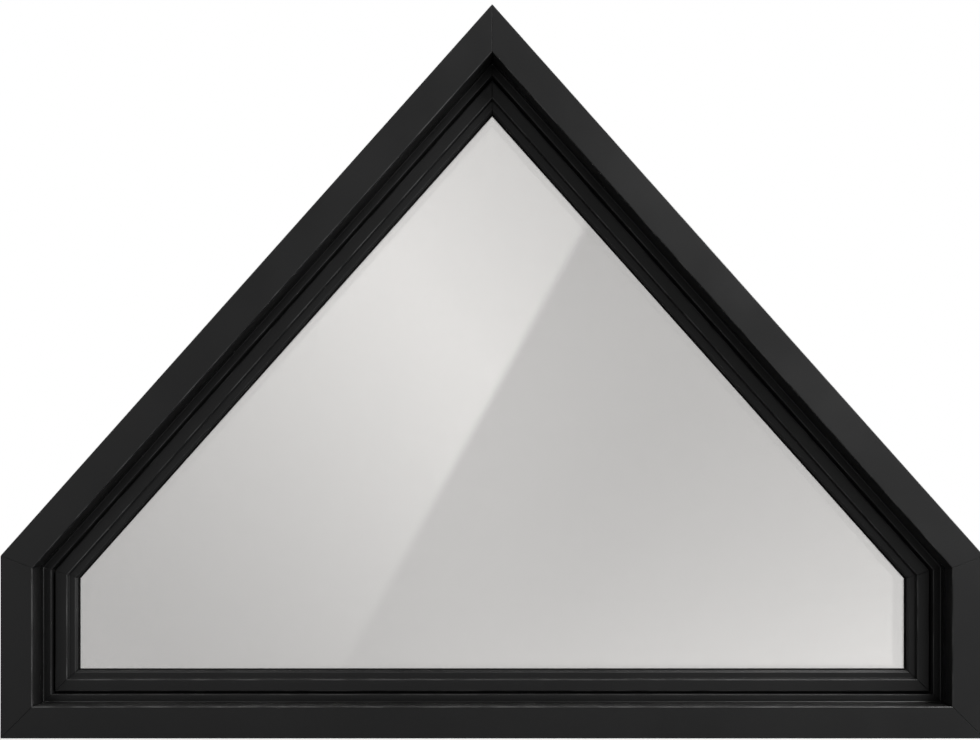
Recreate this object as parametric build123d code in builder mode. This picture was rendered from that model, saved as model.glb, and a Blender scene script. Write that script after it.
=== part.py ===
from build123d import *

import os
from dataclasses import dataclass

# A fixed gable window: mitred hollow metal bars, an inset sash, snap-in glazing beads and a sealed glass unit.
# +X runs to the right and +Z up, seen from the front. The front face looks along -Y.
# The origin is on the underside of the sill, at mid width and mid depth. All sizes are in millimetres.

# Outline of the frame, seen from the front
overall_width = 1540.0
overall_height = 1150.0
jamb_height = 286.0

# Widths across the section, from the outer edge of the frame towards the glass
face_width = 50.0
ledge_width = 12.2
sash_gap = 4.2
sash_face = 18.9
nose_face = 13.9
step_slope = 1.8
sash_wall = 4.0
bead_width = 13.6

# Depths through the section, from the front face towards the room
reveal_depth = 38.0
sash_set_back = 4.5
nose_set_back = 6.0
nose_thickness = 6.5
gasket_thickness = 3.0
pane_thickness = 4.0
cavity_depth = 16.0
bead_thickness = 11.0
seal_thickness = 2.0
stop_thickness = 10.0

# Hollow walls, rounded corners and bevels of the extruded bars
wall = 2.0
bead_wall = 1.5
edge_radius = 1.6
cove_radius = 1.5
bevel_radius = 0.6
bevel_width = 3.4
bevel_depth = 3.0

# Insulating strips: dovetail heads held in grooves of the outer and inner shells
strip_recess = 6.0
strip_thickness = 2.0
strip_head_width = 4.0
strip_head_depth = 3.0

# Hook of the glazing bead, which snaps into a groove of the sash wall
hook_inset = 4.0
hook_depth = 1.5
hook_length = 3.0
hook_clearance = 0.3

# Glass unit and its gaskets
edge_clearance = 4.0
sealant_width = 3.0
spacer_recess = 1.0
gasket_width = 11.0
gasket_lip = 2.0

# Seals between the frame and the sash
gap_seal_recess = 8.0
gap_seal_depth = 6.0
stop_seal_recess = 0.5

# Lines across the section, measured from the outer edge
ledge_line = face_width + ledge_width
sash_line = ledge_line + sash_gap
step_line = sash_line + sash_face
sight_line = step_line + nose_face
rebate_line = sash_line + sash_wall
glass_line = rebate_line + edge_clearance
bead_line = rebate_line + bead_width
hook_line = rebate_line - hook_depth
groove_line = hook_line - hook_clearance
strip_lines = [
    strip_recess + strip_thickness / 2,
    ledge_line - strip_recess - strip_thickness / 2,
]

# Lines through the section, measured from the front face
sash_front = reveal_depth + sash_set_back
nose_front = sash_front + nose_set_back
nose_back = nose_front + nose_thickness
glass_front = nose_back + gasket_thickness
cavity_front = glass_front + pane_thickness
cavity_back = cavity_front + cavity_depth
glass_back = cavity_back + pane_thickness
bead_front = glass_back + gasket_thickness
hook_front = bead_front + hook_inset
hook_back = hook_front + hook_length
sash_back = bead_front + bead_thickness
stop_front = sash_back + seal_thickness
frame_depth = stop_front + stop_thickness
outer_groove_bottom = glass_front - strip_head_depth
inner_groove_bottom = glass_back + strip_head_depth


@dataclass
class Side:
    """One straight side of the frame, with the mitre planes at its two ends."""

    name: str
    start: Vector
    end: Vector
    start_mitre: Plane
    end_mitre: Plane

    @property
    def section_plane(self):
        """Plane across the middle of the side: x points to the glass, y to the room."""
        along = self.end - self.start
        inward = Vector(0, 1, 0).cross(along)
        return Plane(origin=(self.start + self.end) / 2, x_dir=inward, z_dir=along)


def frame_sides():
    """The five sides, clockwise from the sill as seen from the front."""
    half_width = overall_width / 2
    front = -frame_depth / 2
    corners = [
        Vector(half_width, front, 0),
        Vector(-half_width, front, 0),
        Vector(-half_width, front, jamb_height),
        Vector(0, front, overall_height),
        Vector(half_width, front, jamb_height),
    ]
    names = ["sill", "left_jamb", "left_rake", "right_rake", "right_jamb"]
    count = len(corners)
    along = [(corners[(i + 1) % count] - corners[i]).normalized() for i in range(count)]
    mitres = [Plane(origin=corners[i], z_dir=along[i - 1] + along[i]) for i in range(count)]
    return [
        Side(names[i], corners[i], corners[(i + 1) % count], mitres[i], mitres[(i + 1) % count])
        for i in range(count)
    ]


sides = frame_sides()


def chamber(start, front, end, back):
    """Corners of a rectangular hollow, from one line across the section and one depth to another."""
    return [(start, front), (end, front), (end, back), (start, back)]


def dovetail(line, mouth, bottom):
    """Corners of the groove for a strip's head: narrow at the mouth and wide at the bottom."""
    return [
        (line - strip_thickness / 2, mouth),
        (line + strip_thickness / 2, mouth),
        (line + strip_head_width / 2, bottom),
        (line - strip_head_width / 2, bottom),
    ]


def section(outline_points, rounds=(), cuts=()):
    """A section drawn as (distance from outer edge, depth), with corners rounded and hollows cut out."""
    with BuildSketch() as profile:
        with BuildLine():
            Polyline(*outline_points, close=True)
        make_face()
        for corner, radius in rounds:
            fillet(profile.vertices().sort_by_distance(corner)[0], radius)
        for points in cuts:
            with BuildLine():
                Polyline(*points, close=True)
            make_face(mode=Mode.SUBTRACT)
    return profile.sketch


def mitred_bar(profile, side, name):
    """The section run along one side and sawn to the mitre at each end."""
    with BuildPart() as bar:
        with BuildSketch(side.section_plane):
            add(profile)
        extrude(amount=(side.end - side.start).length, both=True)
        split(bisect_by=side.start_mitre, keep=Keep.TOP)
        split(bisect_by=side.end_mitre, keep=Keep.BOTTOM)
    bar.part.label = name
    export_step(bar.part, f"parts/{name}.step")


def outline(inset):
    """The five-sided outline of the frame, set in by one distance all round."""
    with BuildSketch() as shape:
        with BuildLine():
            Polyline(*[(side.start.X, side.start.Z) for side in sides], close=True)
        make_face()
        offset(amount=-inset, kind=Kind.INTERSECTION)
    return shape.sketch


def front_plane(depth):
    """Upright plane at one depth behind the front face, looking to the front."""
    return Plane.XZ.offset(frame_depth / 2 - depth)


def flat_sheet(name, inset, front, thickness):
    """A five-sided sheet, such as a pane."""
    with BuildPart() as sheet:
        with BuildSketch(front_plane(front)):
            add(outline(inset))
        extrude(amount=-thickness)
    sheet.part.label = name
    export_step(sheet.part, f"parts/{name}.step")


def flat_loop(name, outer_inset, inner_inset, front, thickness):
    """A five-sided loop of rectangular section, such as a seal."""
    with BuildPart() as loop:
        with BuildSketch(front_plane(front)):
            add(outline(outer_inset))
            add(outline(inner_inset), mode=Mode.SUBTRACT)
        extrude(amount=-thickness)
    loop.part.label = name
    export_step(loop.part, f"parts/{name}.step")


# Outer shell of the frame: the wide flat face, the deep reveal and the ledge in front of the sash.
# The wall of the reveal runs on to the back as a web between the two hollows.
outer_shell = section(
    [
        (0, 0),
        (face_width, 0),
        (face_width, reveal_depth),
        (ledge_line, reveal_depth),
        (ledge_line, glass_front),
        (0, glass_front),
    ],
    rounds=[
        ((0, 0), edge_radius),
        ((face_width, 0), edge_radius),
        ((face_width, reveal_depth), cove_radius),
        ((ledge_line, reveal_depth), edge_radius),
    ],
    cuts=[
        chamber(wall, wall, face_width - wall, outer_groove_bottom - wall),
        chamber(face_width, reveal_depth + wall, ledge_line - wall, outer_groove_bottom - wall),
        *[dovetail(line, glass_front, outer_groove_bottom) for line in strip_lines],
    ],
)

# Inner shell of the frame, with the hollow stop behind the wall of the sash
inner_shell = section(
    [
        (0, glass_back),
        (ledge_line, glass_back),
        (ledge_line, stop_front),
        (rebate_line, stop_front),
        (rebate_line, frame_depth),
        (0, frame_depth),
    ],
    rounds=[
        ((rebate_line, frame_depth), edge_radius),
        ((0, frame_depth), edge_radius),
    ],
    cuts=[
        chamber(wall, inner_groove_bottom + wall, ledge_line - wall, frame_depth - wall),
        chamber(ledge_line, stop_front + wall, rebate_line - wall, frame_depth - wall),
        *[dovetail(line, glass_back, inner_groove_bottom) for line in strip_lines],
    ],
)

# Insulating strips that join the two shells, in line with the glass unit and set back from both edges
with BuildSketch() as strips:
    for line in strip_lines:
        with BuildLine():
            Polyline(
                (line - strip_head_width / 2, outer_groove_bottom),
                (line + strip_head_width / 2, outer_groove_bottom),
                (line + strip_thickness / 2, glass_front),
                (line + strip_thickness / 2, glass_back),
                (line + strip_head_width / 2, inner_groove_bottom),
                (line - strip_head_width / 2, inner_groove_bottom),
                (line - strip_thickness / 2, glass_back),
                (line - strip_thickness / 2, glass_front),
                close=True,
            )
        make_face()

# Sash: a hollow flange in front of the glass, with a flat face, a sloping step and a bevelled nose, and a wall
# round the edge of the glass with the groove for the beads
sash = section(
    [
        (sash_line, sash_front),
        (step_line, sash_front),
        (step_line + step_slope, nose_front),
        (sight_line - bevel_width, nose_front),
        (sight_line, nose_front + bevel_depth),
        (sight_line, nose_back),
        (rebate_line, nose_back),
        (rebate_line, sash_back),
        (sash_line, sash_back),
    ],
    rounds=[
        ((sash_line, sash_front), edge_radius),
        ((step_line, sash_front), edge_radius),
        ((sight_line - bevel_width, nose_front), bevel_radius),
        ((sight_line, nose_front + bevel_depth), bevel_radius),
    ],
    cuts=[
        chamber(sash_line + wall, sash_front + wall, step_line - wall, nose_back - wall),
        chamber(step_line, nose_front + wall, sight_line - bevel_width, nose_back - wall),
        chamber(groove_line, hook_front - hook_clearance, rebate_line, hook_back + hook_clearance),
    ],
)

# Glazing bead: a hollow bar behind the glass with a bevelled edge to the room, and the hook that holds it
bead = section(
    [
        (rebate_line, bead_front),
        (bead_line, bead_front),
        (bead_line, sash_back - bevel_depth),
        (bead_line - bevel_width, sash_back),
        (rebate_line, sash_back),
        (rebate_line, hook_back),
        (hook_line, hook_back),
        (rebate_line, hook_front),
    ],
    rounds=[
        ((bead_line, sash_back - bevel_depth), bevel_radius),
        ((bead_line - bevel_width, sash_back), bevel_radius),
    ],
    cuts=[
        chamber(
            rebate_line + bead_wall,
            bead_front + bead_wall,
            bead_line - bevel_width,
            sash_back - bead_wall,
        ),
    ],
)

os.makedirs("parts", exist_ok=True)

for side in sides:
    mitred_bar(outer_shell, side, f"{side.name}_outer_frame")
    mitred_bar(strips.sketch, side, f"{side.name}_thermal_break")
    mitred_bar(inner_shell, side, f"{side.name}_inner_frame")
    mitred_bar(sash, side, f"{side.name}_sash")
    mitred_bar(bead, side, f"{side.name}_glazing_bead")

flat_sheet("outer_glass_pane", glass_line, glass_front, pane_thickness)
flat_sheet("inner_glass_pane", glass_line, cavity_back, pane_thickness)
flat_loop("spacer_bar", glass_line + sealant_width, bead_line - spacer_recess, cavity_front, cavity_depth)
flat_loop(
    "outer_glass_gasket",
    sight_line + gasket_lip - gasket_width,
    sight_line + gasket_lip,
    nose_back,
    gasket_thickness,
)
flat_loop("inner_glass_gasket", glass_line, bead_line + gasket_lip, glass_back, gasket_thickness)
flat_loop("sash_gap_seal", ledge_line, sash_line, sash_front + gap_seal_recess, gap_seal_depth)
flat_loop(
    "sash_stop_seal",
    sash_line + stop_seal_recess,
    rebate_line - stop_seal_recess,
    sash_back,
    seal_thickness,
)
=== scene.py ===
import math

import bpy
import numpy as np
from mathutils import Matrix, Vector


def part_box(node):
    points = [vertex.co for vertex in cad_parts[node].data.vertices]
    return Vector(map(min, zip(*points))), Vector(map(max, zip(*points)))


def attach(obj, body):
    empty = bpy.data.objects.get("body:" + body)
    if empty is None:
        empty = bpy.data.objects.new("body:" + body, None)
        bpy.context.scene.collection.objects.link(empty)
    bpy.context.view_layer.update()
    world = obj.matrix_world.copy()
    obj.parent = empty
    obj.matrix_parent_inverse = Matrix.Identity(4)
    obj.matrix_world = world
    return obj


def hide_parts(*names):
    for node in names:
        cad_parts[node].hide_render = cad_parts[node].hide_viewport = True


# A fixed gable window: mitred black bars, an inset sash with snap-in beads and a double glass unit.
# All lengths are metres in the CAD frame: +X right, +Y into the room, +Z up.

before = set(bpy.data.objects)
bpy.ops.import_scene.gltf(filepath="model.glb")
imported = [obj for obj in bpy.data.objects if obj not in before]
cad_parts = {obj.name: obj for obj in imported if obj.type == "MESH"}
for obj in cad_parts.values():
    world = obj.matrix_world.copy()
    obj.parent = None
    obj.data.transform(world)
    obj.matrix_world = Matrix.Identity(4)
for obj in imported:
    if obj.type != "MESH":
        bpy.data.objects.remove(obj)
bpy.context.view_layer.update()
print("frame loaded:", len(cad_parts), "nodes")


def across(node):  # lowest and highest z of a node, which at the sill are distances from the outer edge
    low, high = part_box(node)
    return low.z, high.z


def through(node):  # depths of a node behind the front face, nearest and furthest
    low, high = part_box(node)
    return low.y - frontFace, high.y - frontFace


# Lines of the section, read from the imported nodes
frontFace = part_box("sill_outer_frame")[0].y
ledgeLine = across("sill_outer_frame")[1]
sashLine, sightLine = across("sill_sash")
rebateLine = across("sill_inner_frame")[1]
hookLine, beadLine = across("sill_glazing_bead")
shellBack = through("sill_outer_frame")[1]
innerFront, frameDepth = through("sill_inner_frame")
sashFront, sashBack = through("sill_sash")
noseBack = through("outer_glass_gasket")[0]
beadFront = through("sill_glazing_bead")[0]

# Corners of the outer edge in (x, z), anticlockwise from the lower left as seen from the front
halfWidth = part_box("sill_outer_frame")[1].x
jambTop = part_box("left_jamb_outer_frame")[1].z
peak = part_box("left_rake_outer_frame")[1].z
sideNames = ["sill", "right_jamb", "right_rake", "left_rake", "left_jamb"]
corners = np.array([(-halfWidth, 0), (halfWidth, 0), (halfWidth, jambTop), (0, peak), (-halfWidth, jambTop)])


def unit(vectors):  # the same directions with length 1
    return vectors / np.linalg.norm(vectors, axis=-1, keepdims=True)


# Directions along and inward for each side, and how far each corner moves in when both of its sides move in by 1
along = unit(np.roll(corners, -1, axis=0) - corners)
inward = np.stack([-along[:, 1], along[:, 0]], axis=1)
inwardBefore = np.roll(inward, 1, axis=0)
mitre = (inwardBefore + inward) / (1 + np.sum(inwardBefore * inward, axis=1, keepdims=True))

rubAndHighlightRadius = 0.0016  # radius from which an outer edge is fully rubbed and given its full painted highlight
coveFade = 0.6  # part of its painted shade that a corner loses round its arc


# Rounded profile: each corner of the outline becomes the arc that touches both of its edges.
# With unit edges a and b at corner p, the centre is p + (a + b) r / sin, and the arc turns evenly from edge to edge.
# The outline runs anticlockwise, and its corners hold distance from the outer edge, depth, radius and any painted
# shade.
def roundedProfile(outline, arcSteps=5):
    p = np.array([corner[:2] for corner in outline])
    r = np.array([corner[2:3] for corner in outline])
    held = np.array([corner[3:] or (0,) for corner in outline])
    a = unit(np.roll(p, 1, axis=0) - p)
    b = unit(np.roll(p, -1, axis=0) - p)
    cross = a[:, :1] * b[:, 1:] - a[:, 1:] * b[:, :1]
    cosine = np.sum(a * b, axis=1, keepdims=True)
    centre = p + (a + b) * r / np.abs(cross)
    reach = r * np.sqrt((1 + cosine) / (1 - cosine))  # from the corner to where the arc touches
    first = (p + a * reach - centre) / r
    last = (p + b * reach - centre) / r
    sweep = (math.pi - np.arccos(cosine))[:, :, None]
    t = np.linspace(0, 1, arcSteps + 1)[None, :, None]
    turn = (np.sin((1 - t) * sweep) * first[:, None] + np.sin(t * sweep) * last[:, None]) / np.sin(sweep)
    convex = -np.sign(cross)[:, None]
    places = centre[:, None] + r[:, None] * turn
    crown = np.sin(np.pi * t) * np.maximum(convex, 0)  # 1 halfway round an outer edge, 0 on flats
    # paler edge crowns: partly rubbed paint, partly a painted highlight
    rubAndHighlight = crown * np.minimum(r / rubAndHighlightRadius, 1)[:, None]
    cove = held[:, None] * (1 - coveFade * t)  # the corner's painted shade, which also fades along the flats beside it
    marks = {"rubAndHighlight": rubAndHighlight.reshape(-1), "cove": cove.reshape(-1)}
    return places.reshape(-1, 2), (turn * convex).reshape(-1, 2), marks


def upright(plan, y):  # a plan in (x, z) stood up in space
    return np.stack([plan[..., 0], y, plan[..., 1]], axis=-1)


# Quads between rows of profile points: each joins two neighbours of one row with the same two of the next row.
# Given rows of any value here and there, this puts out that value at the four points of each quad.
def atQuads(here, there):
    return np.stack([here, there, np.roll(there, -1, axis=1), np.roll(here, -1, axis=1)], axis=2)


# Skin of quads: its map runs along the bar and round the profile, both in metres
def skin(section, points, pointsOn, run, runOn, facing):
    steps = np.linalg.norm(np.roll(section, -1, axis=0) - section, axis=1)
    around = np.concatenate([[0], np.cumsum(steps)])
    quadRun = atQuads(run, runOn)
    quadAround = np.stack([around[:-1], around[:-1], around[1:], around[1:]], axis=-1)
    uv = np.stack([quadRun, np.broadcast_to(quadAround, quadRun.shape)], axis=-1)
    quads = atQuads(points, pointsOn).reshape(-1, 4).tolist()
    return quads, atQuads(facing, facing).reshape(-1, 3), uv.reshape(-1, 2)


# Object with smooth faces, a normal and a map place at each face corner, and the profile's marks as attributes
def fillMesh(name, places, faces, loopNormals, loopUv, marks):
    mesh = bpy.data.meshes.new(name)
    mesh.from_pydata(places.reshape(-1, 3).tolist(), [], faces)
    mesh.polygons.foreach_set("use_smooth", np.ones(len(faces), bool))
    mesh.uv_layers.new(name="alongAndAround").uv.foreach_set("vector", loopUv.astype(np.float32).ravel())
    for label, profileMark in marks.items():
        mark = np.resize(profileMark, len(mesh.vertices)).astype(np.float32)  # the same at every station
        mesh.attributes.new(label, "FLOAT", "POINT").data.foreach_set("value", mark)
    mesh.normals_split_custom_set(loopNormals.reshape(-1, 3).tolist())
    piece = bpy.data.objects.new(name, mesh)
    bpy.context.scene.collection.objects.link(piece)
    return piece


seam = {
    "lip": 0.0006,  # how far the groove reaches along each bar
    "depth": 0.0006,  # how deep the groove is
}


# Mitred bar: the profile stands at four stations along one side. At both mitre planes it is drawn in by the seam's
# depth, and one lip further in it is full, so two bars meet in a fine V groove.
def mitredBar(name, start, profile):
    section, normals, marks = profile
    end = (start + 1) % len(corners)
    d, inner = along[start], inward[start]
    startCut, endCut = [unit(d - np.dot(d, m) * m) for m in unit(mitre[[start, end]])]  # normals of the mitre planes
    startLip, endLip = [d * seam["lip"] / np.dot(d, cut) for cut in (startCut, endCut)]
    drawnIn = section - seam["depth"] * normals
    plan = np.stack(
        [
            corners[start] + drawnIn[:, :1] * mitre[start],
            corners[start] + section[:, :1] * mitre[start] + startLip,
            corners[end] + section[:, :1] * mitre[end] - endLip,
            corners[end] + drawnIn[:, :1] * mitre[end],
        ]
    )
    depth = np.stack([drawnIn[:, 1], section[:, 1], section[:, 1], drawnIn[:, 1]])
    places = upright(plan, frontFace + depth)

    # Normals follow the arcs exactly, so flats stay flat. The lips lean halfway towards the mitre planes.
    outward = upright(normals[:, :1] * inner, normals[:, 1])
    startFacing, endFacing = [np.array([cut[0], 0, cut[1]]) for cut in (-startCut, endCut)]
    lean = np.stack([unit(outward + startFacing), outward, unit(outward + endFacing)])

    points = np.arange(depth.size).reshape(depth.shape)
    run = np.sum((plan - corners[start]) * d, axis=-1)
    quads, quadNormals, quadUv = skin(section, points[:-1], points[1:], run[:-1], run[1:], lean)
    faces = quads + [points[0].tolist(), points[-1, ::-1].tolist()]  # both ends are closed by one face
    capNormals = np.repeat([startFacing, endFacing], len(section), axis=0)
    loopUv = np.concatenate([quadUv, section, section[::-1]])
    return fillMesh(name, places, faces, np.concatenate([quadNormals, capNormals]), loopUv, marks)


# Mitred loop: the profile stands at each of the five corners and closes on itself
def mitredLoop(name, profile):
    section, normals, marks = profile
    sides = len(corners)
    plan = corners[:, None] + section[None, :, :1] * mitre[:, None]
    depth = np.tile(section[:, 1], (sides, 1))
    outward = upright(normals[None, :, :1] * inward[:, None], np.tile(normals[:, 1], (sides, 1)))
    points = np.arange(depth.size).reshape(depth.shape)
    run = np.sum(plan * along[:, None], axis=-1)
    runOn = np.sum(np.roll(plan, -1, axis=0) * along[:, None], axis=-1)
    quads, quadNormals, quadUv = skin(section, points, np.roll(points, -1, axis=0), run, runOn, outward)
    return fillMesh(name, upright(plan, frontFace + depth), quads, quadNormals, quadUv, marks)


# Outer shell: the wide flat face, the deep reveal and the ledge in front of the sash
outerShell = {
    "faceWidth": 0.050,
    "revealDepth": 0.038,
    "edgeRadius": 0.0016,
    "ledgeRadius": 0.0010,
    "coveRadius": 0.0016,
    "paintedCoveShade": 1.0,  # painted shade held by the foot of the reveal, from 0 to 1
    "hiddenRadius": 0.0005,  # of edges that other pieces cover
}
# Insulating strips: their dovetail heads sit in grooves of both shells
strips = {
    "recess": 0.006,
    "thickness": 0.002,
    "headWidth": 0.004,
    "headDepth": 0.003,
    "grooveRadius": 0.0002,
}
stripLines = [strips["recess"] + strips["thickness"] / 2, ledgeLine - strips["recess"] - strips["thickness"] / 2]


def stripGroove(line, mouth, bottom):  # corners of a dovetail groove with their radii, in rising distance
    neck, head, r = strips["thickness"] / 2, strips["headWidth"] / 2, strips["grooveRadius"]
    return [(line - neck, mouth, r), (line - head, bottom, r), (line + head, bottom, r), (line + neck, mouth, r)]


def outerShellOutline():  # face, reveal and ledge, then the back with its two grooves
    face, reveal = outerShell["faceWidth"], outerShell["revealDepth"]
    edge, hidden = outerShell["edgeRadius"], outerShell["hiddenRadius"]
    bottom = shellBack - strips["headDepth"]
    grooves = stripGroove(stripLines[0], shellBack, bottom) + stripGroove(stripLines[1], shellBack, bottom)
    cove = (face, reveal, outerShell["coveRadius"], outerShell["paintedCoveShade"])
    ledge = [(ledgeLine, reveal, outerShell["ledgeRadius"]), (ledgeLine, shellBack, hidden)]
    return [(0, 0, edge), (face, 0, edge), cove] + ledge + grooves[::-1] + [(0, shellBack, hidden)]


# Inner shell: the room side of the frame, with the stop behind the sash
innerShell = {
    "stopThickness": 0.010,
    "edgeRadius": 0.0016,
    "hiddenRadius": 0.0005,
}


def innerShellOutline():  # front with its two grooves, then the stop and the room face
    stopFront = frameDepth - innerShell["stopThickness"]
    edge, hidden = innerShell["edgeRadius"], innerShell["hiddenRadius"]
    bottom = innerFront + strips["headDepth"]
    grooves = stripGroove(stripLines[0], innerFront, bottom) + stripGroove(stripLines[1], innerFront, bottom)
    stop = [(ledgeLine, innerFront, hidden), (ledgeLine, stopFront, hidden), (rebateLine, stopFront, hidden)]
    return [(0, innerFront, hidden)] + grooves + stop + [(rebateLine, frameDepth, edge), (0, frameDepth, edge)]


# Sash: a flat face, a sloping step and a bevelled nose in front of the glass, and a wall with the groove for the beads
sash = {
    "noseWidth": 0.0139,
    "noseThickness": 0.0065,
    "stepSlope": 0.0018,
    "bevelWidth": 0.0034,
    "bevelDepth": 0.003,
    "edgeRadius": 0.0016,
    "bevelRadius": 0.0007,
    "bevelPaintedShade": 0.8,  # painted shade held by the bevel's foot
    "coveRadius": 0.0004,
    "paintedCoveShade": 0.2,  # painted shade held by the step's foot
    "hiddenRadius": 0.0005,
    "hookClearance": 0.0003,
}
# Glazing bead: a bar behind the glass with a bevelled edge to the room, and the hook that snaps into the sash
bead = {
    "hookInset": 0.004,
    "hookLength": 0.003,
    "bevelWidth": 0.0034,
    "bevelDepth": 0.003,
    "bevelRadius": 0.0007,
    "hiddenRadius": 0.0004,
}
hookFront = beadFront + bead["hookInset"]
hookBack = hookFront + bead["hookLength"]


def sashOutline():  # face, step and nose, then the rebate for the glass, the hook groove and the wall
    edge, bevel, hidden = sash["edgeRadius"], sash["bevelRadius"], sash["hiddenRadius"]
    stepLine, noseFront = sightLine - sash["noseWidth"], noseBack - sash["noseThickness"]
    grooveLine, gap = hookLine - sash["hookClearance"], sash["hookClearance"]
    stepFoot = (stepLine + sash["stepSlope"], noseFront, sash["coveRadius"], sash["paintedCoveShade"])
    bevelFoot = (sightLine, noseFront + sash["bevelDepth"], bevel, sash["bevelPaintedShade"])
    face = [(sashLine, sashFront, edge), (stepLine, sashFront, edge), stepFoot]
    nose = [(sightLine - sash["bevelWidth"], noseFront, bevel), bevelFoot]
    inside = [(sightLine, noseBack, hidden), (rebateLine, noseBack, hidden), (rebateLine, hookFront - gap, hidden)]
    groove = [(grooveLine, hookFront - gap, hidden), (grooveLine, hookBack + gap, hidden)]
    wall = [(rebateLine, hookBack + gap, hidden), (rebateLine, sashBack, hidden), (sashLine, sashBack, hidden)]
    return face + nose + inside + groove + wall


def beadOutline():  # glass side and bevelled room side, then the hook
    bevel, hidden = bead["bevelRadius"], bead["hiddenRadius"]
    front = [(rebateLine, beadFront, hidden), (beadLine, beadFront, hidden)]
    back = [(beadLine, sashBack - bead["bevelDepth"], bevel), (beadLine - bead["bevelWidth"], sashBack, bevel)]
    hook = [(rebateLine, hookBack, hidden), (hookLine, hookBack, hidden), (rebateLine, hookFront, hidden)]
    return front + back + [(rebateLine, sashBack, hidden)] + hook


# Loops of rubber and the spacer: the line of their inner edge and the radius of their corners
gasketLip = 0.002  # how far a glass gasket shows past the nose or the bead
spacerInset = 0.001  # how far the spacer stays behind the bead
stopSealInset = 0.0005  # how far the stop's seal stays behind the stop
loops = {
    "spacer_bar": {"innerLine": beadLine - spacerInset, "radius": 0.001, "slot": "spacer"},
    "outer_glass_gasket": {"innerLine": sightLine + gasketLip, "radius": 0.0005, "slot": "gasket"},
    "inner_glass_gasket": {"innerLine": beadLine + gasketLip, "radius": 0.0012, "slot": "gasket"},
    "sash_gap_seal": {"innerLine": sashLine, "radius": 0.0009, "slot": "gasket"},
    "sash_stop_seal": {"innerLine": rebateLine - stopSealInset, "radius": 0.0008, "slot": "gasket"},
}


def loopOutline(node):  # a rectangle from the node's outer line to its inner line, as deep as the node
    near, far, r = across(node)[0], loops[node]["innerLine"], loops[node]["radius"]
    front, back = through(node)
    return [(near, front, r), (far, front, r), (far, back, r), (near, back, r)]


# Shader helpers: a value may be a number, a colour or another node's socket
def addNode(tree, kind, values=(), **settings):
    node = tree.nodes.new("ShaderNode" + kind)
    for key, value in settings.items():
        setattr(node, key, value)
    for socket, value in dict(values).items():
        if isinstance(value, bpy.types.NodeSocket):
            tree.links.new(value, node.inputs[socket])
        else:
            node.inputs[socket].default_value = value
    return node


def maths(tree, operation, *values):  # one step of arithmetic
    return addNode(tree, "Math", enumerate(values), operation=operation).outputs[0]


def smoothStep(tree, value, low, high, toLow=0.0, toHigh=1.0):  # S curve from toLow at low to toHigh at high
    limits = {0: value, 1: low, 2: high, 3: toLow, 4: toHigh}
    return addNode(tree, "MapRange", limits, interpolation_type="SMOOTHSTEP").outputs[0]


def mixColour(tree, share, first, second):  # the first colour at share 0, the second at 1
    return addNode(tree, "Mix", {0: share, 6: first, 7: second}, data_type="RGBA").outputs[2]


def noise(tree, place, scale, detail=2.0):  # soft noise round 0.5, with that many grains a metre
    return addNode(tree, "TexNoise", {"Vector": place, "Scale": scale, "Detail": detail}).outputs[0]


def bend(tree, shader, height, depth, **settings):  # a bump of that depth in metres bends the shader's normal
    bump = addNode(tree, "Bump", {"Height": height, "Distance": depth}, **settings)
    tree.links.new(bump.outputs[0], shader.inputs["Normal"])


def newGroup(name, inputs, outputs):  # an empty group, with what it is given and what it puts out
    group = bpy.data.node_groups.new(name, "ShaderNodeTree")
    for label, kind in inputs.items():
        group.interface.new_socket(label, in_out="INPUT", socket_type="NodeSocket" + kind)
    for label in outputs:
        group.interface.new_socket(label, in_out="OUTPUT", socket_type="NodeSocketFloat")
    return group, group.nodes.new("NodeGroupInput").outputs, group.nodes.new("NodeGroupOutput").inputs


def useGroup(tree, group, **values):  # a shared effect, placed in a material with its own values
    return addNode(tree, "Group", values, node_tree=group).outputs


# Patches of the shared effects: the noise's detail, the noise values between which a patch grows, and its mask there
patches = {
    "rubAndHighlight": {"detail": 5.0, "noise": (0.38, 0.66), "mask": (0.0, 1.0)},
    "dust": {"detail": 6.0, "noise": (0.3, 0.75), "mask": (0.25, 1.0)},
    # painted shade in inner corners, broken into faint patches
    "paintedShade": {"detail": 4.0, "noise": (0.3, 0.7), "mask": (0.85, 1.0)},
}
cloudDetail = 4.0
cloudNoise = (0.3, 0.7)  # noise values between which a finish goes from its low to its high roughness
dustFacing = (0.35, 1.0)  # upward parts of the normal between which dust goes from none to full


def cloudy(tree, clouds, roughness):  # from the low to the high roughness with the clouds
    return smoothStep(tree, clouds, *cloudNoise, *roughness)


def patchMask(tree, place, scale, kind):  # noise grown into patches
    patch = patches[kind]
    return smoothStep(tree, noise(tree, place, scale, patch["detail"]), *patch["noise"], *patch["mask"])


# Orange peel: the fine skin of a sprayed or moulded surface, and slow clouds in its sheen
def orangePeelGroup():
    inputs = {"Place": "Vector", "Peel": "Float", "Cloud": "Float"}
    group, given, out = newGroup("orangePeel", inputs, ["Height", "Sheen"])
    group.links.new(noise(group, given["Place"], given["Peel"]), out["Height"])
    group.links.new(noise(group, given["Place"], given["Cloud"], cloudDetail), out["Sheen"])
    return group


# Edge rub and painted highlight: the crown of an outer edge made paler, partly by rubbed paint and partly as a painted
# highlight, broken up by patches of noise
def edgeRubAndHighlightGroup():
    inputs = {"Place": "Vector", "Crown": "Float", "Patch": "Float"}
    group, given, out = newGroup("edgeRubAndHighlight", inputs, ["Mask"])
    mask = patchMask(group, given["Place"], given["Patch"], "rubAndHighlight")
    group.links.new(maths(group, "MULTIPLY", given["Crown"], mask), out["Mask"])
    return group


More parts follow.
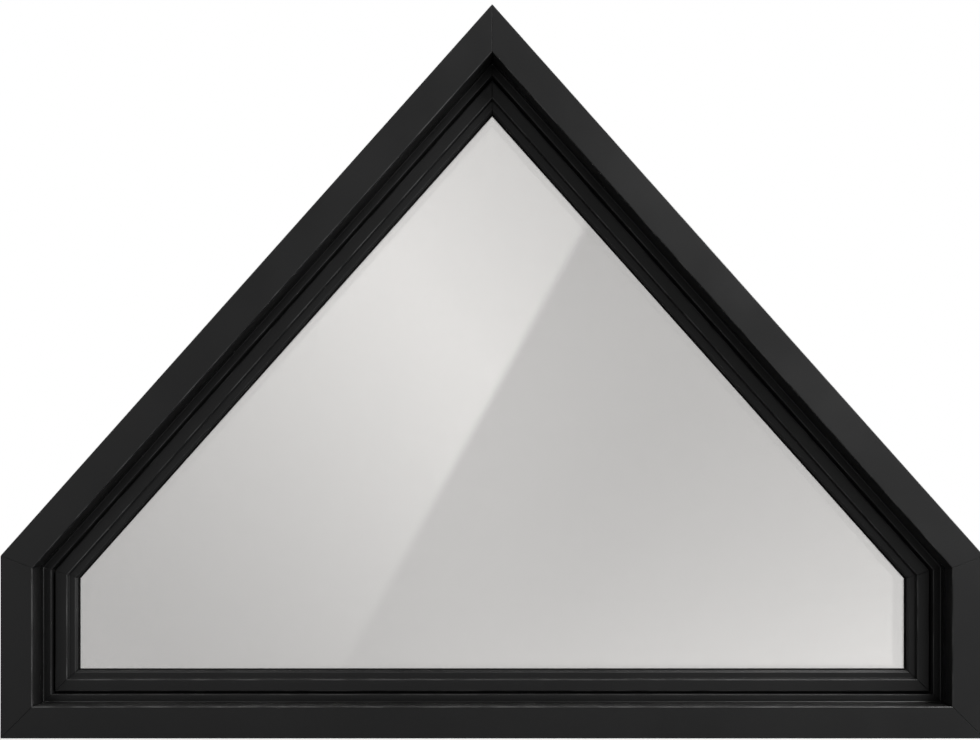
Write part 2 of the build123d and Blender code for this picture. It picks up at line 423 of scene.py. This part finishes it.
# Settled dust: the more a face looks up, the more of it, in soft patches
def settledDustGroup():
    inputs = {"Place": "Vector", "Facing": "Vector", "Patch": "Float"}
    group, given, out = newGroup("settledDust", inputs, ["Mask"])
    upward = addNode(group, "SeparateXYZ", {0: given["Facing"]}).outputs[2]
    mask = patchMask(group, given["Place"], given["Patch"], "dust")
    group.links.new(maths(group, "MULTIPLY", smoothStep(group, upward, *dustFacing), mask), out["Mask"])
    return group


# Painted cove shade: a dark colour painted into inner corners where shade falls, by a power of the shade that the
# corner holds, in faint patches
def paintedCoveShadeGroup():
    inputs = {"Place": "Vector", "Cove": "Float", "Power": "Float", "Patch": "Float"}
    group, given, out = newGroup("paintedCoveShade", inputs, ["Mask"])
    shadeAmount = maths(group, "POWER", given["Cove"], given["Power"])
    mask = patchMask(group, given["Place"], given["Patch"], "paintedShade")
    group.links.new(maths(group, "MULTIPLY", shadeAmount, mask), out["Mask"])
    return group


orangePeel, edgeRubAndHighlight = orangePeelGroup(), edgeRubAndHighlightGroup()
settledDust, paintedCoveShade = settledDustGroup(), paintedCoveShadeGroup()


def newMaterial(name):  # a material with its tree, its shader and the place on the object
    material = bpy.data.materials.new(name)
    material.use_nodes = True
    tree = material.node_tree
    place = addNode(tree, "TexCoord").outputs["Object"]
    return material, tree, tree.nodes["Principled BSDF"], place


# Satin powder coat on the metal bars: soft black with a fine peel, edge crowns paler from rubbed paint and a
# painted highlight, painted shade in inner corners, and dust on the ledges. Rubbing and the painted shade make it
# smoother, and dust makes it rougher.
coat = {
    "colour": (0.0108, 0.0108, 0.0110, 1),
    # paler edge crowns: partly rubbed paint, partly a painted highlight
    "rubAndHighlightColour": (0.075, 0.075, 0.075, 1),
    # painted shade: the near-black painted into inner corners where shade falls
    "paintedShadeColour": (0.0012, 0.0012, 0.0012, 1),
    "dustColour": (0.16, 0.155, 0.145, 1),
    "dustShare": 0.05,
    "paintedShadePower": 0.85,
    "roughness": (0.36, 0.44),
    "rubAndHighlightRoughness": -0.06,
    "paintedShadeRoughness": -0.15,
    "dustRoughness": 0.15,
    "specular": 0.5,
    "peel": 700.0,  # grains a metre, and so for clouds and patches
    "peelDepth": 0.00002,
    "cloud": 7.0,
    "rubAndHighlightPatch": 22.0,
    "dustPatch": 30.0,
    "paintedShadePatch": 12.0,
}


def coatMaterial(name):
    material, tree, shader, place = newMaterial(name)
    crown, cove = [addNode(tree, "Attribute", attribute_name=mark).outputs["Fac"] for mark in ("rubAndHighlight", "cove")]
    facing = addNode(tree, "NewGeometry").outputs["Normal"]
    peel = useGroup(tree, orangePeel, Place=place, Peel=coat["peel"], Cloud=coat["cloud"])
    rubAndHighlight = useGroup(tree, edgeRubAndHighlight, Place=place, Crown=crown, Patch=coat["rubAndHighlightPatch"])["Mask"]
    dust = useGroup(tree, settledDust, Place=place, Facing=facing, Patch=coat["dustPatch"])["Mask"]
    paintedShade = useGroup(
        tree, paintedCoveShade, Place=place, Cove=cove, Power=coat["paintedShadePower"], Patch=coat["paintedShadePatch"]
    )["Mask"]
    # painted shade darkens the inner corners, then the edge crowns turn paler, partly rubbed paint and partly a painted
    # highlight
    withPaintedShade = mixColour(tree, paintedShade, coat["colour"], coat["paintedShadeColour"])
    rubbedAndHighlit = mixColour(tree, rubAndHighlight, withPaintedShade, coat["rubAndHighlightColour"])
    dusty = mixColour(tree, maths(tree, "MULTIPLY", dust, coat["dustShare"]), rubbedAndHighlit, coat["dustColour"])
    tree.links.new(dusty, shader.inputs["Base Color"])
    rough = cloudy(tree, peel["Sheen"], coat["roughness"])
    for mask, change in ((rubAndHighlight, "rubAndHighlightRoughness"), (paintedShade, "paintedShadeRoughness"), (dust, "dustRoughness")):
        rough = maths(tree, "MULTIPLY_ADD", mask, coat[change], rough)
    tree.links.new(rough, shader.inputs["Roughness"])
    bend(tree, shader, peel["Height"], coat["peelDepth"])
    shader.inputs["Specular IOR Level"].default_value = coat["specular"]
    return material


# Rubber gaskets: matt black with a fine moulded grain and a bloom of pale dust
rubber = {
    "colour": (0.005, 0.005, 0.005, 1),
    "bloomColour": (0.014, 0.014, 0.0135, 1),
    "bloomNoise": (0.4, 0.75),
    "roughness": (0.55, 0.75),
    "specular": 0.15,
    "grain": 1500.0,
    "grainDepth": 0.00003,
    "cloud": 40.0,
}


def rubberMaterial():
    material, tree, shader, place = newMaterial("gasketRubber")
    peel = useGroup(tree, orangePeel, Place=place, Peel=rubber["grain"], Cloud=rubber["cloud"])
    bloom = smoothStep(tree, peel["Sheen"], *rubber["bloomNoise"])
    tree.links.new(mixColour(tree, bloom, rubber["colour"], rubber["bloomColour"]), shader.inputs["Base Color"])
    tree.links.new(cloudy(tree, peel["Sheen"], rubber["roughness"]), shader.inputs["Roughness"])
    bend(tree, shader, peel["Height"], rubber["grainDepth"])
    shader.inputs["Specular IOR Level"].default_value = rubber["specular"]
    return material


# Glass-filled nylon of the insulating strips: dark grey, with the pale ends of fibres
nylon = {
    "colour": (0.020, 0.020, 0.021, 1),
    "fibreColour": (0.060, 0.060, 0.058, 1),
    "fibreNoise": (0.56, 0.72),
    "roughness": (0.5, 0.68),
    "fibre": 900.0,
    "fibreDepth": 0.00004,
    "cloud": 120.0,
}


def nylonMaterial():
    material, tree, shader, place = newMaterial("stripNylon")
    peel = useGroup(tree, orangePeel, Place=place, Peel=nylon["fibre"], Cloud=nylon["cloud"])
    fibres = smoothStep(tree, peel["Height"], *nylon["fibreNoise"])
    tree.links.new(mixColour(tree, fibres, nylon["colour"], nylon["fibreColour"]), shader.inputs["Base Color"])
    tree.links.new(cloudy(tree, peel["Sheen"], nylon["roughness"]), shader.inputs["Roughness"])
    bend(tree, shader, peel["Height"], nylon["fibreDepth"])
    return material


# Spacer of the glass unit: dark metal with a row of fine breathing holes along its middle, one at each pitch
spacer = {
    "colour": (0.030, 0.030, 0.031, 1),
    "holeColour": (0.003, 0.003, 0.003, 1),
    "roughness": (0.4, 0.5),
    "holePitch": 0.004,
    "holeRadius": 0.0006,
    "holeRim": 0.7,  # part of the radius inside which a hole is fully dark
    "holeDepth": 0.0003,
    "cloud": 60.0,
}


def spacerMaterial():
    material, tree, shader, place = newMaterial("spacerMetal")
    mapPlace = addNode(tree, "UVMap", uv_map="alongAndAround").outputs[0]
    run, around = addNode(tree, "SeparateXYZ", {0: mapPlace}).outputs[:2]
    near, far, r = across("spacer_bar")[0], loops["spacer_bar"]["innerLine"], loops["spacer_bar"]["radius"]
    front, back = through("spacer_bar")
    middle = far - near + (back - front) / 2 - (3 - math.pi) * r  # round the profile to its inner face
    alongHole = maths(tree, "PINGPONG", run, spacer["holePitch"] / 2)
    aroundHole = maths(tree, "SUBTRACT", around, middle)
    squares = [maths(tree, "MULTIPLY", way, way) for way in (alongHole, aroundHole)]
    away = maths(tree, "SQRT", maths(tree, "ADD", *squares))
    hole = smoothStep(tree, away, spacer["holeRadius"], spacer["holeRadius"] * spacer["holeRim"])
    peel = useGroup(tree, orangePeel, Place=place, Cloud=spacer["cloud"])
    tree.links.new(mixColour(tree, hole, spacer["colour"], spacer["holeColour"]), shader.inputs["Base Color"])
    tree.links.new(cloudy(tree, peel["Sheen"], spacer["roughness"]), shader.inputs["Roughness"])
    bend(tree, shader, hole, spacer["holeDepth"], invert=True)
    return material


# Glass: lightly tinted float glass, with the faint roller wave of the sheet. Lamps shine through it.
glass = {
    "tint": (0.726, 0.720, 0.714, 1),
    "ior": 1.52,
    "wave": 3.0,
    "waveDepth": 0.00002,
    "haze": (0.0, 0.001),
    "hazeNoise": (0.4, 0.8),
    "cloud": 5.0,
}


def glassMaterial():
    material, tree, shader, place = newMaterial("paneGlass")
    peel = useGroup(tree, orangePeel, Place=place, Peel=glass["wave"], Cloud=glass["cloud"])
    shader.inputs["Base Color"].default_value = glass["tint"]
    shader.inputs["IOR"].default_value = glass["ior"]
    shader.inputs["Transmission Weight"].default_value = 1.0
    haze = smoothStep(tree, peel["Sheen"], *glass["hazeNoise"], *glass["haze"])
    tree.links.new(haze, shader.inputs["Roughness"])
    bend(tree, shader, peel["Height"], glass["waveDepth"])
    clear = addNode(tree, "BsdfTransparent", {"Color": glass["tint"]})
    shadowRay = addNode(tree, "LightPath").outputs["Is Shadow Ray"]
    both = addNode(tree, "MixShader", {0: shadowRay, 1: shader.outputs[0], 2: clear.outputs[0]})
    tree.links.new(both.outputs[0], tree.nodes["Material Output"].inputs["Surface"])
    return material


finishes = {
    "frame_black": coatMaterial("frameCoat"),
    "sash_black": coatMaterial("sashCoat"),
    "bead_black": coatMaterial("beadCoat"),
    "thermal_break": nylonMaterial(),
    "glass": glassMaterial(),
    "spacer": spacerMaterial(),
    "gasket": rubberMaterial(),
}
print("finishes made:", len(finishes))


def dress(piece, node, slot):  # a new piece stands for its CAD node and takes the slot's finish
    piece.data.materials.append(finishes[slot])
    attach(piece, "root")
    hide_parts(node)


barPieces = {
    "outer_frame": ("OuterFrame", roundedProfile(outerShellOutline()), "frame_black"),
    "inner_frame": ("InnerFrame", roundedProfile(innerShellOutline()), "frame_black"),
    "sash": ("Sash", roundedProfile(sashOutline()), "sash_black"),
    "glazing_bead": ("GlazingBead", roundedProfile(beadOutline()), "bead_black"),
}
for index, sideName in enumerate(sideNames):
    for kind, (label, profile, slot) in barPieces.items():
        dress(mitredBar(f"{sideName}{label}", index, profile), f"{sideName}_{kind}", slot)
print("bars made:", len(sideNames) * len(barPieces))

for node, form in loops.items():
    dress(mitredLoop(f"{node}_loop", roundedProfile(loopOutline(node))), node, form["slot"])
print("loops made:", len(loops))


panes = ["outer_glass_pane", "inner_glass_pane"]


def refinish(node, slot):  # a CAD node that keeps its shape gets the finish of its slot
    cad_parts[node].data.materials.clear()
    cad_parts[node].data.materials.append(finishes[slot])


for sideName in sideNames:
    refinish(f"{sideName}_thermal_break", "thermal_break")
for pane in panes:
    refinish(pane, "glass")
print("nodes refinished:", len(sideNames) + len(panes))


# Stage: a pale floor that fades into a white surround. Both show white to the camera and through the glass, and a
# softer grey to mirrors, so that black bars keep their depth. The floor keeps part of its own shading for the shadow.
stage = {
    "floorColour": (0.80, 0.80, 0.80, 1),
    "bounceColour": (0.24, 0.24, 0.24, 1),  # the floor as the window sees it, so that little light comes from below
    "floorRoughness": 0.9,
    "floorHalf": 6.0,
    "shadowShare": 0.5,  # how much of the floor's own shading shows near the window
    "fade": (0.9, 2.6),  # metres over which the floor fades to white
    "mirrored": 0.17,  # strength of the surround in reflections and as fill light
}
halfBounce = 0.5  # parts a ray with no bounce from one with a bounce


def seenStraight(tree):  # 1 for the camera and through glass, 0 once the ray has met any other surface
    path = addNode(tree, "LightPath").outputs
    seen = maths(tree, "MAXIMUM", path["Is Camera Ray"], path["Is Transmission Ray"])
    bounces = maths(tree, "ADD", path["Glossy Depth"], path["Diffuse Depth"])
    return maths(tree, "MULTIPLY", seen, maths(tree, "LESS_THAN", bounces, halfBounce))


def surroundStrength(tree):  # white where it is seen straight, the mirrored strength elsewhere
    return addNode(tree, "MapRange", {0: seenStraight(tree), 3: stage["mirrored"], 4: 1.0}).outputs[0]


def flatSheet(name, outline):  # an object of one face
    mesh = bpy.data.meshes.new(name)
    mesh.from_pydata(outline, [], [range(len(outline))])
    sheet = bpy.data.objects.new(name, mesh)
    bpy.context.scene.collection.objects.link(sheet)
    return sheet


def buildWorld():  # a white background at the surround's strength
    world = bpy.data.worlds.new("studio")
    world.use_nodes = True
    tree = world.node_tree
    background = tree.nodes["Background"]
    background.inputs["Color"].default_value = (1, 1, 1, 1)
    tree.links.new(surroundStrength(tree), background.inputs["Strength"])
    bpy.context.scene.world = world


def buildFloor():  # its paint gives way to the white surround with distance, and through glass
    half = stage["floorHalf"]
    floor = flatSheet("studioFloor", [(-half, -half, 0), (half, -half, 0), (half, half, 0), (-half, half, 0)])
    material, tree, shader, place = newMaterial("floorPaint")
    path = addNode(tree, "LightPath").outputs
    paint = mixColour(tree, path["Is Camera Ray"], stage["bounceColour"], stage["floorColour"])
    tree.links.new(paint, shader.inputs["Base Color"])
    shader.inputs["Roughness"].default_value = stage["floorRoughness"]
    shader.inputs["Specular IOR Level"].default_value = 0.0
    away = addNode(tree, "VectorMath", {0: place}, operation="LENGTH").outputs["Value"]
    whiteShare = smoothStep(tree, away, *stage["fade"], 1 - stage["shadowShare"], 1.0)
    white = addNode(tree, "Emission", {"Color": (1, 1, 1, 1), "Strength": surroundStrength(tree)})
    throughGlass = maths(tree, "MAXIMUM", whiteShare, path["Is Transmission Ray"])
    share = maths(tree, "MULTIPLY", throughGlass, maths(tree, "SUBTRACT", 1.0, path["Is Diffuse Ray"]))
    both = addNode(tree, "MixShader", {0: share, 1: shader.outputs[0], 2: white.outputs[0]})
    tree.links.new(both.outputs[0], tree.nodes["Material Output"].inputs["Surface"])
    floor.data.materials.append(material)


# Sheen card: a light sheet in front of the window that only the panes mirror, parted by a slanting edge.
# Left of the edge its glow rises by a power of the way up from the lower left, and falls again towards the peak.
# Right of the edge it is even, and rises by the square of the way to the lower right. Beside the edge a glow is added,
# which follows a parabola up the edge, less a dip, so that it darkens both ends. It fades away from the edge.
sheen = {
    "y": -0.6,
    "halfWidth": 1.0,
    "bottom": 0.001,
    "top": 1.3,
    "colour": (1.0, 0.985, 0.97, 1),
    "strength": 8.0,  # glow for one part of sheen
    "edge": ((-0.315, 0.049), (0.213, 1.011)),  # (x, z) of two points of the edge
    "edgeSoftness": 0.03,
    "leftWay": ((-0.806, 0.049), (-0.028, 0.706)),  # (x, z) where the left glow starts and where it is full
    "leftPower": 1.33,
    "leftSheen": 0.392,
    "leftFall": (0.79, 1.66),  # parts of that way over which the glow falls
    "leftFallShare": 0.63,
    "rightWay": ((0.753, 0.988), (1.164, 0.206)),  # (x, z) where the right glow starts to rise and where it is full
    "rightSheen": (0.044, 0.244),  # even glow, and the rise
    "edgeGlow": 0.079,
    "edgeDip": 0.26,  # part of the edge glow taken away all along the edge
    "edgeReach": 0.41,  # metres over which the glow beside the edge fades
}


def wayAlong(tree, place, way):  # 0 at the way's start and 1 at its end
    start, end = [np.array([x, 0, z]) for x, z in way]
    step = (end - start) / np.dot(end - start, end - start)
    dot = addNode(tree, "VectorMath", {0: place, 1: step}, operation="DOT_PRODUCT").outputs["Value"]
    return maths(tree, "SUBTRACT", dot, np.dot(start, step))


def sheenMaterial():
    material, tree, shader, place = newMaterial("sheenGlow")
    tree.nodes.remove(shader)
    low, high = [np.array(point) for point in sheen["edge"]]
    leftOfEdge = np.array([low[1] - high[1], high[0] - low[0]]) / np.linalg.norm(high - low)
    soft = sheen["edgeSoftness"]
    side = wayAlong(tree, place, (low - leftOfEdge * soft / 2, low + leftOfEdge * soft / 2))
    leftWay = maths(tree, "MAXIMUM", wayAlong(tree, place, sheen["leftWay"]), 0.0)
    rise = maths(tree, "POWER", maths(tree, "MINIMUM", leftWay, 1.0), sheen["leftPower"])
    fall = smoothStep(tree, leftWay, *sheen["leftFall"], 1.0, 1.0 - sheen["leftFallShare"])
    left = maths(tree, "MULTIPLY", maths(tree, "MULTIPLY", rise, fall), sheen["leftSheen"])
    rightWay = maths(tree, "MAXIMUM", wayAlong(tree, place, sheen["rightWay"]), 0.0)
    even, more = sheen["rightSheen"]
    rising = maths(tree, "MULTIPLY_ADD", maths(tree, "MULTIPLY", rightWay, rightWay), more, even)
    up = wayAlong(tree, place, sheen["edge"])
    halfway = maths(tree, "MULTIPLY", maths(tree, "MULTIPLY", up, 4.0), maths(tree, "SUBTRACT", 1.0, up))
    beside = smoothStep(tree, side, 0.0, -sheen["edgeReach"] / soft, sheen["edgeGlow"], 0.0)
    dipped = maths(tree, "SUBTRACT", maths(tree, "MAXIMUM", halfway, 0.0), sheen["edgeDip"])
    right = maths(tree, "MULTIPLY_ADD", beside, dipped, rising)
    glow = addNode(tree, "MapRange", {0: side, 3: right, 4: left}, interpolation_type="SMOOTHSTEP").outputs[0]
    mirrored = maths(tree, "GREATER_THAN", addNode(tree, "LightPath").outputs["Glossy Depth"], halfBounce)
    strength = maths(tree, "MULTIPLY", maths(tree, "MULTIPLY", glow, sheen["strength"]), mirrored)
    light = addNode(tree, "Emission", {"Color": sheen["colour"], "Strength": strength})
    both = addNode(tree, "AddShader", {0: addNode(tree, "BsdfTransparent").outputs[0], 1: light.outputs[0]})
    tree.links.new(both.outputs[0], tree.nodes["Material Output"].inputs["Surface"])
    material.cycles.emission_sampling = "NONE"
    return material


def buildSheenCard():  # the card stands in front of the window and lights only the panes
    half, bottom, top, y = sheen["halfWidth"], sheen["bottom"], sheen["top"], sheen["y"]
    card = flatSheet("sheenCard", [(-half, y, bottom), (half, y, bottom), (half, y, top), (-half, y, top)])
    card.data.materials.append(sheenMaterial())
    mirrors = bpy.data.collections.new("sheenPanes")
    for pane in panes:
        mirrors.objects.link(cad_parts[pane])
    card.light_linking.receiver_collection = mirrors
    card.visible_camera = False
    card.visible_diffuse = False
    card.visible_shadow = False


# Soft boxes: degrees to the right of the front, degrees above level, and power. All are turned to the window's middle.
softBoxes = {
    "keyRight": {"azimuth": 50, "elevation": 40, "watts": 225.0},
    "highRight": {"azimuth": 80, "elevation": 40, "watts": 180.0},
    "sideRight": {"azimuth": 75, "elevation": 8, "watts": 110.0},
    "lowRight": {"azimuth": 45, "elevation": 8, "watts": 15.0},
    "fillLeft": {"azimuth": -50, "elevation": 40, "watts": 52.0},
    "lowLeft": {"azimuth": -45, "elevation": 8, "watts": 10.0},
    "backRight": {"azimuth": 155, "elevation": 45, "watts": 90.0},
    "backLeft": {"azimuth": -155, "elevation": 45, "watts": 90.0},
}
softBoxSize = 3.0
softBoxDistance = 6.0
lightTarget = Vector((0.0, 0.0, 0.45))


# Each lamp stands off the target along its direction, and its -Z axis looks back along it. It isn't seen through glass.
def buildLights():
    for name, box in softBoxes.items():
        a, e = math.radians(box["azimuth"]), math.radians(box["elevation"])
        outward = Vector((math.sin(a) * math.cos(e), -math.cos(a) * math.cos(e), math.sin(e)))
        lamp = bpy.data.lights.new(name, "AREA")
        lamp.shape = "DISK"
        lamp.size = softBoxSize
        lamp.energy = box["watts"]
        holder = bpy.data.objects.new(name, lamp)
        holder.location = lightTarget + softBoxDistance * outward
        holder.rotation_euler = outward.to_track_quat("Z", "Y").to_euler()
        holder.visible_transmission = False
        bpy.context.scene.collection.objects.link(holder)


# Camera: square on to the front face. The shift lowers the eye to the photo's vanishing point.
camera = {
    "place": (-0.0035, -1.531, 0.3372),
    "focalPixels": 944.1,
    "imageWidth": 980,
    "sensor": 36.0,
    "eyeBelowMiddle": 153.1,  # pixels from the middle of the image down to the vanishing point
}


def buildCamera():
    lens = bpy.data.cameras.new("photoCamera")
    lens.sensor_width = camera["sensor"]
    lens.lens = camera["focalPixels"] / camera["imageWidth"] * camera["sensor"]
    lens.shift_y = camera["eyeBelowMiddle"] / camera["imageWidth"]
    holder = bpy.data.objects.new("photoCamera", lens)
    holder.location = camera["place"]
    holder.rotation_euler = (math.pi / 2, 0, 0)
    bpy.context.scene.collection.objects.link(holder)
    bpy.context.scene.camera = holder


buildWorld()
buildFloor()
buildSheenCard()
buildLights()
buildCamera()
bpy.context.scene.view_settings.view_transform = "Standard"
print("stage, lights and camera set")
